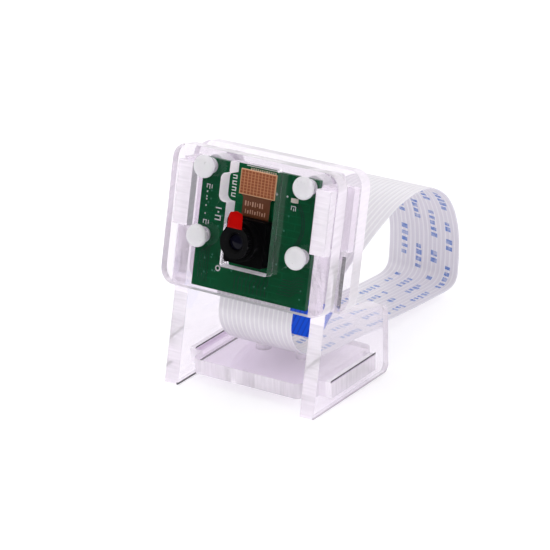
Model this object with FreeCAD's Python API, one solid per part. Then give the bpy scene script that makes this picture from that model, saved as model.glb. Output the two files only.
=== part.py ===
import FreeCAD, Part
import math
import os

V = FreeCAD.Vector
os.makedirs("parts", exist_ok=True)

# driving dimensions, in millimetres
LEAN = 13.5            # backward lean of the two plates, degrees
SHEET = 3.0            # acrylic sheet thickness
PLATE_W = 36.0
PLATE_H = 26.5
PLATE_R = 3.0
SHOULDER = 19.2        # height of the plates' lower edge, along the lean
GAP = 5.0              # distance between the two plates
LEG_OUT = 16.5         # outer face of each leg, from the middle
LEG_L = 26.0           # length of a leg along the floor
LEG_R_TOP = 2.5
LEG_R_BOT = 1.5
TAB_LOW = 30.7         # leg tab, along the lean
TAB_HIGH = 42.45
ARM_TOP = 43.0
KERF = 0.1             # clearance left by the cutter around each tab
BASE_Z = 1.9           # underside of the base plate
BASE_TAB_Y0 = 6.3
BASE_TAB_Y1 = 21.3
BASE_SLOT_GAP = 0.2    # space left above the base's tabs
BASE_Y0 = 2.6
BASE_Y1 = 24.8
BASE_HALF_W = 12.0
BASE_HOLE_R = 1.5
BASE_HOLE_X = 4.5
BASE_HOLE_Y = 15.5
WINDOW_X0 = -5.35
WINDOW_X1 = 4.95
WINDOW_LOW = 24.6
WINDOW_HIGH = 44.3
POCKET_X = -7.1
POCKET_LOW = 36.5
POCKET_HIGH = 41.9

BOARD_W = 25.0
BOARD_H = 24.0
BOARD_T = 1.0
FRONT = 0.5            # front face of the board, behind the front plate
BOARD_LOW = 19.6       # board's lower edge, along the lean
RING_T = 0.1
HOLE_X = 10.8
HOLE_V = (9.7, 22.6)
HOLE_R = 1.1
RING_R = 1.35

WASHER_R = 1.45
HEAD_R = 2.15
HEAD_H = 1.2
SHANK_R = 0.95
SHANK_L = 14.0
NUT_AF = 4.0
NUT_H = 1.6

HOLDER_W = 8.5
HOLDER_X = -0.5
HOLDER_V = 10.4
LENS_X = -0.55         # lens axis on the board
LENS_V = 10.7
FOAM_H = 1.0
HOLDER_H = 3.5
COLLAR_R = 3.7
COLLAR_H = 5.6
BARREL_R = 3.05
BARREL_H = 7.0
LENS_R = 1.5

FLEX_X0 = -3.2
FLEX_X1 = 2.7
STIFF_X0 = -4.1
STIFF_X1 = 3.7
STIFF_V0 = 18.7
STIFF_V1 = 23.4

CONN_HALF_W = 10.0
CONN_LOW = 20.9
CONN_HIGH = 25.6
CONN_H = 2.6
LATCH_H = 1.2
LATCH_HALF_W = 10.9
LATCH_TRAVEL = 1.2

CABLE_W = 16.0
CABLE_T = 0.3
STRIP_T = 0.2
CONTACT_T = 0.04
CABLE_DEPTH = 2.8      # ribbon's middle, behind the front plate
WAYS = 15
PITCH = 1.0

SIN = math.sin(math.radians(LEAN))
COS = math.cos(math.radians(LEAN))
BACK = FRONT + BOARD_T           # rear face of the board, behind the front plate


def world(d, s):
    """Depth behind the front plate and height along the lean, as (y, z)."""
    return (s * SIN + d * COS, s * COS - d * SIN)


def lean(shape):
    """Turn a shape drawn upright (y = depth, z = height) into its leaning place."""
    out = shape.copy()
    out.rotate(V(0, 0, 0), V(1, 0, 0), -LEAN)
    return out


def box(x0, x1, y0, y1, z0, z1):
    return Part.makeBox(x1 - x0, y1 - y0, z1 - z0, V(x0, y0, z0))


def rod(x, y0, y1, z, r):
    """Cylinder along the depth direction."""
    return Part.makeCylinder(r, y1 - y0, V(x, y0, z), V(0, 1, 0))


def rounded_sheet(x0, x1, z0, z1, y0, y1, r):
    """Upright sheet with its four corners rounded."""
    body = box(x0, x1, y0, y1, z0, z1)
    edges = [e for e in body.Edges if abs(e.tangentAt(e.FirstParameter).y) > 0.99]
    return body.makeFillet(r, edges)


def hole_places():
    return [(sx * HOLE_X, BOARD_LOW + v) for v in HOLE_V for sx in (-1, 1)]


def leg_slots(y0, y1):
    cut = []
    for sx in (-1, 1):
        a = sx * (LEG_OUT - SHEET - KERF)
        b = sx * (LEG_OUT + KERF)
        cut.append(box(min(a, b), max(a, b), y0, y1, TAB_LOW - KERF, TAB_HIGH + KERF))
    return cut


def window():
    """Opening for the camera, with the side pocket next to its flex connector."""
    main = rounded_sheet(WINDOW_X0, WINDOW_X1, WINDOW_LOW, WINDOW_HIGH, -SHEET - 1, 1, 0.4)
    pocket = rounded_sheet(POCKET_X, 0.0, POCKET_LOW, POCKET_HIGH, -SHEET - 1, 1, 1.2)
    return main.fuse(pocket).removeSplitter()


def front_plate():
    z1 = SHOULDER + PLATE_H
    body = rounded_sheet(-PLATE_W / 2, PLATE_W / 2, SHOULDER, z1, -SHEET, 0, PLATE_R)
    for tool in leg_slots(-SHEET - 1, 1) + [window()]:
        body = body.cut(tool)
    for x, z in hole_places():
        body = body.cut(rod(x, -SHEET - 1, 1, z, HOLE_R))
    return lean(body)


def rear_plate():
    z1 = SHOULDER + PLATE_H
    body = rounded_sheet(-PLATE_W / 2, PLATE_W / 2, SHOULDER, z1, GAP, GAP + SHEET, PLATE_R)
    for tool in leg_slots(GAP - 1, GAP + SHEET + 1):
        body = body.cut(tool)
    for x, z in hole_places():
        body = body.cut(rod(x, GAP - 1, GAP + SHEET + 1, z, HOLE_R))
    return lean(body)


def leg(side):
    """Leg sheet with an arm between the plates and a tab into each of them."""
    d_end = (LEG_L - SHOULDER * SIN) / COS
    top = world(d_end, SHOULDER)
    outline = [(0.0, 0.0), world(0, TAB_LOW), world(-SHEET, TAB_LOW),
               world(-SHEET, TAB_HIGH), world(0, TAB_HIGH), world(0, ARM_TOP),
               world(GAP, ARM_TOP), world(GAP, TAB_HIGH), world(GAP + SHEET, TAB_HIGH),
               world(GAP + SHEET, TAB_LOW), world(GAP, TAB_LOW), world(GAP, SHOULDER),
               top, (LEG_L, 0.0)]
    x0 = LEG_OUT - SHEET if side > 0 else -LEG_OUT
    pts = [V(x0, y, z) for y, z in outline]
    body = Part.Face(Part.makePolygon(pts + [pts[0]])).extrude(V(SHEET, 0, 0))

    def corner(y, z):
        near = []
        for e in body.Edges:
            c = e.CenterOfMass
            if abs(e.tangentAt(e.FirstParameter).x) > 0.99 and abs(c.y - y) + abs(c.z - z) < 0.05:
                near.append(e)
        return near

    body = body.makeFillet(LEG_R_TOP, corner(*top))
    body = body.makeFillet(LEG_R_BOT, corner(LEG_L, 0.0))
    slot = box(x0 - 1, x0 + SHEET + 1, BASE_TAB_Y0 - KERF, BASE_TAB_Y1 + KERF,
               BASE_Z, BASE_Z + SHEET + BASE_SLOT_GAP)
    return body.cut(slot)


def base_plate():
    tab = box(-LEG_OUT, LEG_OUT, BASE_TAB_Y0, BASE_TAB_Y1, BASE_Z, BASE_Z + SHEET)
    body = box(-BASE_HALF_W, BASE_HALF_W, BASE_Y0, BASE_Y1, BASE_Z, BASE_Z + SHEET)
    edges = [e for e in body.Edges if abs(e.tangentAt(e.FirstParameter).z) > 0.99]
    body = body.makeFillet(1.5, edges).fuse(tab).removeSplitter()
    for x in (-BASE_HOLE_X, BASE_HOLE_X):
        place = V(x, BASE_HOLE_Y, BASE_Z - 1)
        body = body.cut(Part.makeCylinder(BASE_HOLE_R, SHEET + 2, place))
    return body


def circuit_board():
    body = box(-BOARD_W / 2, BOARD_W / 2, FRONT, BACK, BOARD_LOW, BOARD_LOW + BOARD_H)
    for x, z in hole_places():
        body = body.cut(rod(x, 0, BACK + 1, z, HOLE_R))
    return lean(body)


def plated_rings():
    out = []
    for x, z in hole_places():
        for y0 in (FRONT - RING_T, BACK):
            ring = rod(x, y0, y0 + RING_T, z, RING_R)
            out.append(lean(ring.cut(rod(x, y0 - 1, y0 + 1, z, HOLE_R))))
    return Part.makeCompound(out)


def case_screws():
    """Pan head in front of the front plate, shank through to the nut."""
    out = []
    for x, z in hole_places():
        head = rod(x, -SHEET - HEAD_H, -SHEET, z, HEAD_R)
        rim = [e for e in head.Edges if e.BoundBox.YMax < -SHEET - HEAD_H + 0.01]
        head = head.makeFillet(0.6, rim)
        shank = rod(x, -SHEET, -SHEET + SHANK_L, z, SHANK_R)
        out.append(lean(head.fuse(shank)))
    return Part.makeCompound(out)


def case_nuts():
    y0 = GAP + SHEET
    out = []
    for x, z in hole_places():
        r = NUT_AF / 2 / math.cos(math.radians(30))
        pts = []
        for k in range(7):
            a = math.radians(60 * k)
            pts.append(V(x + r * math.cos(a), y0, z + r * math.sin(a)))
        nut = Part.Face(Part.makePolygon(pts)).extrude(V(0, NUT_H, 0))
        out.append(lean(nut.cut(rod(x, y0 - 1, y0 + NUT_H + 1, z, SHANK_R))))
    return Part.makeCompound(out)


def board_washers():
    out = []
    for x, z in hole_places():
        ring = rod(x, 0.0, FRONT - RING_T, z, WASHER_R)
        out.append(lean(ring.cut(rod(x, -1, 1, z, 1.05))))
    return Part.makeCompound(out)


def board_spacers():
    out = []
    for x, z in hole_places():
        tube = rod(x, BACK + RING_T, GAP, z, 2.0)
        out.append(lean(tube.cut(rod(x, 0, GAP + 1, z, 1.05))))
    return Part.makeCompound(out)


def module_box(half, h0, h1, chamfer=0.0):
    """Square block standing on the board's front face."""
    z = BOARD_LOW + HOLDER_V
    body = box(HOLDER_X - half, HOLDER_X + half, FRONT - h1, FRONT - h0, z - half, z + half)
    if chamfer:
        edges = [e for e in body.Edges if abs(e.tangentAt(e.FirstParameter).y) > 0.99]
        body = body.makeChamfer(chamfer, edges)
    return body


def module_disc(r, h0, h1):
    z = BOARD_LOW + LENS_V
    return rod(LENS_X, FRONT - h1, FRONT - h0, z, r)


def foam_pad():
    return lean(module_box(3.9, 0.0, FOAM_H))


def camera_holder():
    body = module_box(HOLDER_W / 2, FOAM_H, HOLDER_H, 0.35)
    body = body.fuse(module_disc(COLLAR_R, HOLDER_H, COLLAR_H)).removeSplitter()
    body = body.cut(module_box(3.2, FOAM_H, 2.1))
    body = body.cut(module_disc(BARREL_R - 0.5, 1.7, COLLAR_H + 1))
    return lean(body)


def image_sensor():
    return lean(module_box(2.9, FOAM_H, 1.7))


def lens_barrel():
    """Threaded tube in the holder, ribbed rim on top, bored for the glass."""
    body = module_disc(BARREL_R - 0.5, 2.7, COLLAR_H)
    body = body.fuse(module_disc(BARREL_R, COLLAR_H, BARREL_H))
    z = BOARD_LOW + LENS_V
    cone = Part.makeCone(LENS_R, 2.05, 0.7, V(LENS_X, FRONT - BARREL_H + 0.7, z), V(0, -1, 0))
    body = body.cut(cone).cut(module_disc(1.1, 2.5, BARREL_H)).removeSplitter()
    body = body.cut(module_disc(LENS_R, BARREL_H - 1.2, BARREL_H - 0.7))
    for k in range(24):
        a = math.radians(15 * k)
        notch = rod(LENS_X + 3.15 * math.cos(a), FRONT - BARREL_H + 0.3,
                    FRONT - COLLAR_H - 0.2, z + 3.15 * math.sin(a), 0.2)
        body = body.cut(notch)
    return lean(body)


def lens_glass():
    return lean(module_disc(LENS_R, BARREL_H - 1.2, BARREL_H - 0.7))


def lens_film_tab():
    """Thin film on the rim of the lens with a tab standing past its top."""
    z = BOARD_LOW + LENS_V
    y0 = FRONT - BARREL_H
    pts = [(-1.7, 2.6), (1.4, 2.6), (1.35, 5.0), (0.85, 5.8), (-1.05, 5.7), (-1.65, 4.8)]
    ring = [V(LENS_X + x, y0, z + up) for x, up in pts]
    body = Part.Face(Part.makePolygon(ring + [ring[0]])).extrude(V(0, -0.12, 0))
    return lean(body)


def sensor_flex():
    """Flat tail from the holder up to the connector, one small step in it."""
    z0 = BOARD_LOW + HOLDER_V + HOLDER_W / 2
    z1 = BOARD_LOW + STIFF_V0
    y0 = FRONT - 1.3
    low = box(FLEX_X0, FLEX_X1, y0 - 0.12, y0, z0, z1)
    high = box(STIFF_X0 + 0.1, STIFF_X1 - 0.1, y0 - 0.12, y0, z1, BOARD_LOW + STIFF_V1)
    return lean(low.fuse(high).removeSplitter())


def flex_stiffener():
    y0 = FRONT - 1.3 - 0.12
    return lean(rounded_sheet(STIFF_X0, STIFF_X1, BOARD_LOW + STIFF_V0,
                              BOARD_LOW + STIFF_V1, y0 - 0.25, y0, 0.25))


def flex_connector():
    """Board-to-board connector: socket frame with a plug and two rows of pins."""
    x0, x1 = STIFF_X0 + 0.7, STIFF_X1 - 0.7
    z0, z1 = BOARD_LOW + 19.7, BOARD_LOW + 23.0
    body = box(x0, x1, FRONT - 1.3, FRONT, z0, z1)
    for k in range(12):
        x = x0 + 0.45 + k * 0.48
        for z in (z0 - 0.5, z1):
            body = body.fuse(box(x, x + 0.22, FRONT - 0.2, FRONT, z, z + 0.5))
    return lean(body)


def board_strokes():
    """Plain printed strokes on the board's front face."""
    t = 0.02
    out = []

    def stroke(x0, x1, v0, v1):
        out.append(lean(box(x0, x1, FRONT - t, FRONT, BOARD_LOW + v0, BOARD_LOW + v1)))

    for k in range(4):
        stroke(-6.8, -5.9, 17.5 + k * 1.05, 18.1 + k * 1.05)
    for k in range(3):
        stroke(-9.0, -7.6, 12.9 + k * 0.9, 13.3 + k * 0.9)
    for v in (11.9, 12.4, 18.5, 19.1):
        stroke(-11.5, -10.1, v, v + 0.25)
    for v in (13.6, 15.0, 16.2, 17.6):
        stroke(-11.3, -11.0, v, v + 0.3)
    stroke(-7.6, -6.6, 3.6, 3.8)
    stroke(-7.6, -6.6, 4.4, 4.6)
    stroke(6.9, 8.5, 17.7, 17.95)
    stroke(6.9, 8.5, 18.4, 18.65)
    stroke(-4.0, 2.9, 23.75, 23.87)
    return Part.makeCompound(out)


def chip(x, v, w, h, t, face=-1):
    """Two-terminal part on the front (-1) or rear (+1) face of the board."""
    y0 = FRONT - t if face < 0 else BACK
    z = BOARD_LOW + v
    return box(x - w / 2, x + w / 2, y0, y0 + t, z - h / 2, z + h / 2)


def chip_parts(places, end, t, face):
    bodies = []
    caps = []
    for x, v, w, h in places:
        whole = chip(x, v, w, h, t, face)
        if h >= w:
            mid = chip(x, v, w, h - 2 * end, t, face)
        else:
            mid = chip(x, v, w - 2 * end, h, t, face)
        bodies.append(lean(mid))
        caps.append(lean(whole.cut(mid)))
    return Part.makeCompound(bodies), Part.makeCompound(caps)


REAR_CHIPS = [(-8.0 + 1.9 * k, 8.4, 0.6, 1.1) for k in range(5)]
REAR_CHIPS += [(-5.5 + 1.9 * k, 20.6, 0.6, 1.1) for k in range(4)]
REAR_CHIPS += [(5.2, 12.0 + 1.5 * k, 1.1, 0.6) for k in range(4)]


def regulators():
    """Two small five-pin packages on the rear face."""
    out = []
    for x in (-4.6, 0.4):
        body = box(x - 0.85, x + 0.85, BACK, BACK + 1.0, BOARD_LOW + 11.4, BOARD_LOW + 14.4)
        for k in (-0.95, 0.0, 0.95):
            z = BOARD_LOW + 12.9 + k
            for sx in (-1, 1):
                a, b = x + sx * 0.85, x + sx * 1.35
                body = body.fuse(box(min(a, b), max(a, b), BACK, BACK + 0.25, z - 0.2, z + 0.2))
        out.append(lean(body))
    return Part.makeCompound(out)


def oscillator():
    base = box(-1.4, 1.8, BACK, BACK + 0.35, BOARD_LOW + 16.4, BOARD_LOW + 18.9)
    lid = box(-1.15, 1.55, BACK + 0.35, BACK + 0.9, BOARD_LOW + 16.65, BOARD_LOW + 18.65)
    return lean(base.fuse(lid))


def indicator_lamp():
    """Small lamp on the front face: a flat base with a narrower top."""
    low = chip(7.8, 19.5, 1.5, 0.8, 0.2)
    top = chip(7.8, 19.5, 0.8, 0.8, 0.4)
    return lean(low.fuse(top).removeSplitter())


def ribbon_connector():
    """Housing with a mouth for the ribbon at its lower end."""
    body = box(-CONN_HALF_W, CONN_HALF_W, BACK, BACK + CONN_H, CONN_LOW, CONN_HIGH)
    half = CABLE_W / 2 + 0.2
    mouth = box(-half, half, CABLE_DEPTH - 0.45, CABLE_DEPTH + 0.5, CONN_LOW - 1, 24.4)
    body = body.cut(mouth)
    for k in range(WAYS):
        x = (k - (WAYS - 1) / 2) * PITCH
        cell = box(x - 0.28, x + 0.28, BACK + 0.15, CABLE_DEPTH - 0.45, 21.6, 25.2)
        body = body.cut(cell)
        body = body.cut(box(x - 0.28, x + 0.28, BACK + 0.15, BACK + 0.45, 25.1, 25.7))
    return lean(body)


def connector_contacts():
    """Spring beams in the housing, soldered tails above it."""
    out = []
    for k in range(WAYS):
        x = (k - (WAYS - 1) / 2) * PITCH
        beam = box(x - 0.18, x + 0.18, BACK + 0.2, BACK + 0.45, 22.0, 25.7)
        tip = box(x - 0.18, x + 0.18, BACK + 0.45, CABLE_DEPTH - 0.26, 22.0, 22.6)
        tail = box(x - 0.18, x + 0.18, BACK, BACK + 0.45, 25.7, 26.6)
        out.append(lean(beam.fuse([tip, tail])))
    return Part.makeCompound(out)


def connector_latch():
    """Sliding bar under the housing's mouth, with an arm up each side."""
    z0 = CONN_LOW - 0.1 - LATCH_H
    body = box(-LATCH_HALF_W, LATCH_HALF_W, BACK + 0.15, BACK + CONN_H, z0, z0 + LATCH_H)
    half = CABLE_W / 2 + 0.3
    body = body.cut(box(-half, half, CABLE_DEPTH - 0.45, CABLE_DEPTH + 0.65, z0 - 1, z0 + 2))
    for sx in (-1, 1):
        a, b = sx * (CONN_HALF_W + 0.08), sx * LATCH_HALF_W
        arm = box(min(a, b), max(a, b), BACK + 0.3, BACK + 2.0, z0, z0 + 4.6)
        body = body.fuse(arm)
    for k in range(9):
        x = -8.0 + 2.0 * k
        body = body.cut(box(x - 0.25, x + 0.25, BACK + CONN_H - 0.15, BACK + CONN_H + 1,
                            z0 + 0.25, z0 + 0.95))
    return lean(body.removeSplitter())


def cable_route():
    """Middle line of the ribbon as (y, z) points, board end first."""
    return [world(CABLE_DEPTH, 23.8), world(CABLE_DEPTH - 0.1, 18.4),
            (5.7, 13.2), (7.9, 8.7), (12.6, 6.1), (20.5, 5.4), (28.5, 5.0), (37.0, 3.5),
            (47.0, 2.5), (57.0, 1.75), (65.3, 1.3), (66.1, 6.6), (66.2, 12.4), (64.2, 18.4),
            (60.2, 22.9), (53.8, 26.0), (45.0, 25.8), (37.4, 23.5), (30.4, 20.6), (23.6, 17.2),
            (17.5, 13.4), (12.7, 9.5)]


def fillet_segments(points):
    """Straight runs joined by tangent arcs; returns segments and arc radii."""
    segs = []
    radii = []
    pen = points[0]
    for i in range(1, len(points) - 1):
        a, b, c = points[i - 1], points[i], points[i + 1]
        u = (b[0] - a[0], b[1] - a[1])
        w = (c[0] - b[0], c[1] - b[1])
        lu, lw = math.hypot(*u), math.hypot(*w)
        u = (u[0] / lu, u[1] / lu)
        w = (w[0] / lw, w[1] / lw)
        cross = u[0] * w[1] - u[1] * w[0]
        turn = math.atan2(cross, u[0] * w[0] + u[1] * w[1])
        reach = 0.45 * min(lu, lw)
        r = reach / math.tan(abs(turn) / 2)
        side = 1 if turn > 0 else -1
        start = (b[0] - u[0] * reach, b[1] - u[1] * reach)
        centre = (start[0] - side * u[1] * r, start[1] + side * u[0] * r)
        segs.append(("line", pen, start))
        segs.append(("arc", centre, r, math.atan2(start[1] - centre[1], start[0] - centre[0]),
                     turn))
        radii.append(r)
        pen = (b[0] + w[0] * reach, b[1] + w[1] * reach)
    segs.append(("line", pen, points[-1]))
    return segs, radii


def seg_length(seg):
    if seg[0] == "line":
        return math.hypot(seg[2][0] - seg[1][0], seg[2][1] - seg[1][1])
    return seg[2] * abs(seg[4])


def cut_segments(segs, s0, s1):
    """The part of the route between two distances along it."""
    out = []
    at = 0.0
    for seg in segs:
        n = seg_length(seg)
        a, b = max(s0 - at, 0.0), min(s1 - at, n)
        if b - a > 1e-4:
            if seg[0] == "line":
                p, q = seg[1], seg[2]
                fa, fb = a / n, b / n
                out.append(("line", (p[0] + (q[0] - p[0]) * fa, p[1] + (q[1] - p[1]) * fa),
                            (p[0] + (q[0] - p[0]) * fb, p[1] + (q[1] - p[1]) * fb)))
            else:
                out.append(("arc", seg[1], seg[2], seg[3] + seg[4] * a / n,
                            seg[4] * (b - a) / n))
        at += n
    return out


def offset_edges(segs, off):
    """Edges of the route moved sideways by off (left of travel positive)."""
    edges = []
    for seg in segs:
        if seg[0] == "line":
            p, q = seg[1], seg[2]
            n = math.hypot(q[0] - p[0], q[1] - p[1])
            nx, ny = -(q[1] - p[1]) / n * off, (q[0] - p[0]) / n * off
            edges.append(Part.makeLine(V(0, p[0] + nx, p[1] + ny), V(0, q[0] + nx, q[1] + ny)))
        else:
            side = 1 if seg[4] > 0 else -1
            r = seg[2] - side * off

            def at(f):
                a = seg[3] + seg[4] * f
                return V(0, seg[1][0] + r * math.cos(a), seg[1][1] + r * math.sin(a))

            edges.append(Part.Arc(at(0), at(0.5), at(1)).toShape())
    return edges


def strip(segs, off0, off1, x0, x1):
    """Flat strip along the route, between two sideways offsets."""
    low = offset_edges(segs, off0)
    high = offset_edges(segs, off1)
    ends = [Part.makeLine(low[0].Vertexes[0].Point, high[0].Vertexes[0].Point),
            Part.makeLine(low[-1].Vertexes[-1].Point, high[-1].Vertexes[-1].Point)]
    wire = Part.Wire(Part.__sortEdges__(low + high + ends))
    face = Part.Face(wire)
    face.translate(V(x0, 0, 0))
    return face.extrude(V(x1 - x0, 0, 0))


def fingers(segs, off0, off1):
    out = []
    for k in range(WAYS):
        x = (k - (WAYS - 1) / 2) * PITCH
        out.append(strip(segs, off0, off1, x - 0.35, x + 0.35))
    return Part.makeCompound(out)


def save(name, shape):
    """Write one node, with the legs' footprint centred on the origin."""
    shape = shape.copy()
    shape.translate(V(0, -LEG_L / 2, 0))
    shape.exportStep("parts/" + name + ".step")
    print(name, round(shape.Volume, 3), shape.isValid())


SEGS, RADII = fillet_segments(cable_route())
LENGTH = sum(seg_length(s) for s in SEGS)
HALF = CABLE_T / 2
CABLE_X = CABLE_W / 2
NEAR = cut_segments(SEGS, 0.0, 8.0)
NEAR_TIP = cut_segments(SEGS, 0.0, 3.6)
FAR = cut_segments(SEGS, LENGTH - 8.0, LENGTH)
FAR_TIP = cut_segments(SEGS, LENGTH - 3.8, LENGTH)

save("front_plate", front_plate())
save("rear_plate", rear_plate())
save("left_leg", leg(-1))
save("right_leg", leg(1))
save("base_plate", base_plate())
save("circuit_board", circuit_board())
save("plated_rings", plated_rings())
save("board_strokes", board_strokes())
save("case_screws", case_screws())
save("case_nuts", case_nuts())
save("board_washers", board_washers())
save("board_spacers", board_spacers())
save("foam_pad", foam_pad())
save("camera_holder", camera_holder())
save("image_sensor", image_sensor())
save("lens_barrel", lens_barrel())
save("lens_glass", lens_glass())
save("lens_film_tab", lens_film_tab())
save("sensor_flex", sensor_flex())
save("flex_stiffener", flex_stiffener())
save("flex_connector", flex_connector())
save("indicator_lamp", indicator_lamp())
CHIP_BODIES, CHIP_ENDS = chip_parts(REAR_CHIPS, 0.22, 0.55, 1)
save("chip_bodies", CHIP_BODIES)
save("chip_ends", CHIP_ENDS)
save("regulators", regulators())
save("oscillator", oscillator())
save("ribbon_connector", ribbon_connector())
save("connector_contacts", connector_contacts())
save("connector_latch", connector_latch())
save("ribbon_cable", strip(SEGS, -HALF, HALF, -CABLE_X, CABLE_X))
save("ribbon_near_stiffener", strip(NEAR, HALF, HALF + STRIP_T, -CABLE_X, CABLE_X))
save("ribbon_near_contacts", fingers(NEAR_TIP, -HALF - CONTACT_T, -HALF))
save("ribbon_far_stiffener", strip(FAR, -HALF - STRIP_T, -HALF, -CABLE_X, CABLE_X))
save("ribbon_far_contacts", fingers(FAR_TIP, HALF, HALF + CONTACT_T))

CABLE = strip(SEGS, -HALF, HALF, -CABLE_X, CABLE_X)
print("ribbon length", round(LENGTH, 2), "arc radii", [round(r, 2) for r in RADII])
print("ribbon volume", round(CABLE.Volume, 2), "section x length",
      round(CABLE_W * CABLE_T * LENGTH, 2))
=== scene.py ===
import math
import random

import bpy
from mathutils import Matrix, Vector


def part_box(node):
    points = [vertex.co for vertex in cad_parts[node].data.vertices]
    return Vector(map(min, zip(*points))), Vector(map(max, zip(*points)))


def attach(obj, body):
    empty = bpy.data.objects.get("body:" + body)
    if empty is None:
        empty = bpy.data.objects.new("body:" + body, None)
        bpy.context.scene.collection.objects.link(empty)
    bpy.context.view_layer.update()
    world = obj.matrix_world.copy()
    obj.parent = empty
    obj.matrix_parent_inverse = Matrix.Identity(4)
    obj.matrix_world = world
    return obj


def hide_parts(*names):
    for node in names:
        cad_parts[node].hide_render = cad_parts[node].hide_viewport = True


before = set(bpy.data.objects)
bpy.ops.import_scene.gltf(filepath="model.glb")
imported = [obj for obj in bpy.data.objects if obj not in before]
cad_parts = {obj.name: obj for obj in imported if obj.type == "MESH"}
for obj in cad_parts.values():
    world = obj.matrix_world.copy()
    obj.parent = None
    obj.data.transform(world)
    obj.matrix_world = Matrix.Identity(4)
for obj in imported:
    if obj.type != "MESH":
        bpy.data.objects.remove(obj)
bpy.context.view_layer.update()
random.seed(7)

MM = 0.001
LEAN = math.radians(13.5)
UP = Vector((0, math.sin(LEAN), math.cos(LEAN)))
REAR = Vector((0, math.cos(LEAN), -math.sin(LEAN)))
STAND = "stand"
FOOT = 0.013                   # half the length of the legs' footprint


def middle(node):
    low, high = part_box(node)
    return (Vector(low) + Vector(high)) / 2


BOARD = middle("circuit_board")
BOARD_H = 24.0
BOARD_HALF_T = 0.5


def spot(x, depth, v):
    """A place on the leaning board: x from its middle, depth behind its front face,
    v above its lower edge, all in millimetres."""
    return (BOARD + Vector((x * MM, 0, 0)) + REAR * ((depth - BOARD_HALF_T) * MM)
            + UP * ((v - BOARD_H / 2) * MM))


# ---------------------------------------------------------------- camera
IMAGE = 550
FOCAL_PX = 3315.0
YAW, PITCH, ROLL = math.radians(34.05), math.radians(22.55), math.radians(-1.15)
CAMERA_AT = Vector((316.5, -468.3, 255.1)) * MM


def make_camera():
    cam = bpy.data.cameras.new("camera")
    cam.sensor_width = 36.0
    cam.lens = FOCAL_PX / IMAGE * cam.sensor_width
    cam.clip_start = 0.01
    cam.clip_end = 20.0
    obj = bpy.data.objects.new("camera", cam)
    bpy.context.scene.collection.objects.link(obj)
    forward = Vector((-math.sin(YAW) * math.cos(PITCH), math.cos(YAW) * math.cos(PITCH),
                      -math.sin(PITCH)))
    right = Vector((math.cos(YAW), math.sin(YAW), 0))
    up = right.cross(forward)
    r2 = right * math.cos(ROLL) + up * math.sin(ROLL)
    u2 = up * math.cos(ROLL) - right * math.sin(ROLL)
    m = Matrix((r2, u2, -forward)).transposed().to_4x4()
    m.translation = CAMERA_AT
    obj.matrix_world = m
    bpy.context.scene.camera = obj


make_camera()


# ---------------------------------------------------------------- small helpers
def link(obj):
    bpy.context.scene.collection.objects.link(obj)
    return obj


def mesh_object(name, verts, faces, material, smooth=True, uvs=None):
    mesh = bpy.data.meshes.new(name)
    mesh.from_pydata([tuple(v) for v in verts], [], faces)
    if uvs is not None:
        layer = mesh.uv_layers.new(name="UVMap")
        for loop in mesh.loops:
            layer.data[loop.index].uv = uvs[loop.vertex_index]
    mesh.polygons.foreach_set("use_smooth", [smooth] * len(mesh.polygons))
    mesh.materials.append(material)
    mesh.validate()
    mesh.update()
    return link(bpy.data.objects.new(name, mesh))


def finish_piece(obj, slot, *nodes):
    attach(obj, STAND)
    if nodes:
        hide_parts(*nodes)
    return obj


def bevel(obj, width_mm, segments=2, weld=False):
    if weld:
        w = obj.modifiers.new("weld", "WELD")
        w.merge_threshold = 0.000002
    b = obj.modifiers.new("bevel", "BEVEL")
    b.width = width_mm * MM
    b.segments = segments
    b.limit_method = "ANGLE"
    b.angle_limit = math.radians(35)
    b.harden_normals = True
    return obj


class Mesh:
    """Collects boxes, lathes and prisms in the board's own directions."""

    def __init__(self):
        self.verts = []
        self.faces = []

    def add(self, verts, faces):
        n = len(self.verts)
        self.verts += verts
        self.faces += [tuple(i + n for i in f) for f in faces]

    def slab(self, x0, x1, d0, d1, v0, v1, inset=0.0):
        """Box in board directions; inset narrows the front face for a soft edge."""
        front = [(x0 + inset, v0 + inset), (x1 - inset, v0 + inset),
                 (x1 - inset, v1 - inset), (x0 + inset, v1 - inset)]
        rim = [(x0, v0), (x1, v0), (x1, v1), (x0, v1)]
        layers = [(d1, rim), (d0 + inset, rim), (d0, front)] if inset else [(d1, rim), (d0, rim)]
        pts = [spot(x, d, v) for d, ring in layers for x, v in ring]
        faces = [(0, 3, 2, 1)] if d1 > d0 else [(0, 1, 2, 3)]
        for k in range(len(layers) - 1):
            for i in range(4):
                a, b = 4 * k + i, 4 * k + (i + 1) % 4
                faces.append((a, b, b + 4, a + 4))
        top = 4 * (len(layers) - 1)
        faces.append((top, top + 1, top + 2, top + 3))
        self.add(pts, faces)

    def lathe(self, x, v, profile, steps=48):
        """Turned shape about the depth direction; profile is (radius, depth) pairs,
        from the rear axis point round to the front axis point."""
        pts = []
        for r, d in profile[1:-1]:
            for i in range(steps):
                a = 2 * math.pi * i / steps
                pts.append(spot(x + r * math.cos(a), d, v + r * math.sin(a)))
        rear = len(pts)
        pts.append(spot(x, profile[0][1], v))
        pts.append(spot(x, profile[-1][1], v))
        faces = []
        rows = len(profile) - 2
        for k in range(rows - 1):
            for i in range(steps):
                j = (i + 1) % steps
                faces.append((k * steps + i, k * steps + j, (k + 1) * steps + j,
                              (k + 1) * steps + i))
        for i in range(steps):
            j = (i + 1) % steps
            faces.append((rear, j, i))
            last = (rows - 1) * steps
            faces.append((last + i, last + j, rear + 1))
        self.add(pts, faces)

    def object(self, name, material, smooth=True):
        return mesh_object(name, self.verts, self.faces, material, smooth)


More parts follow.
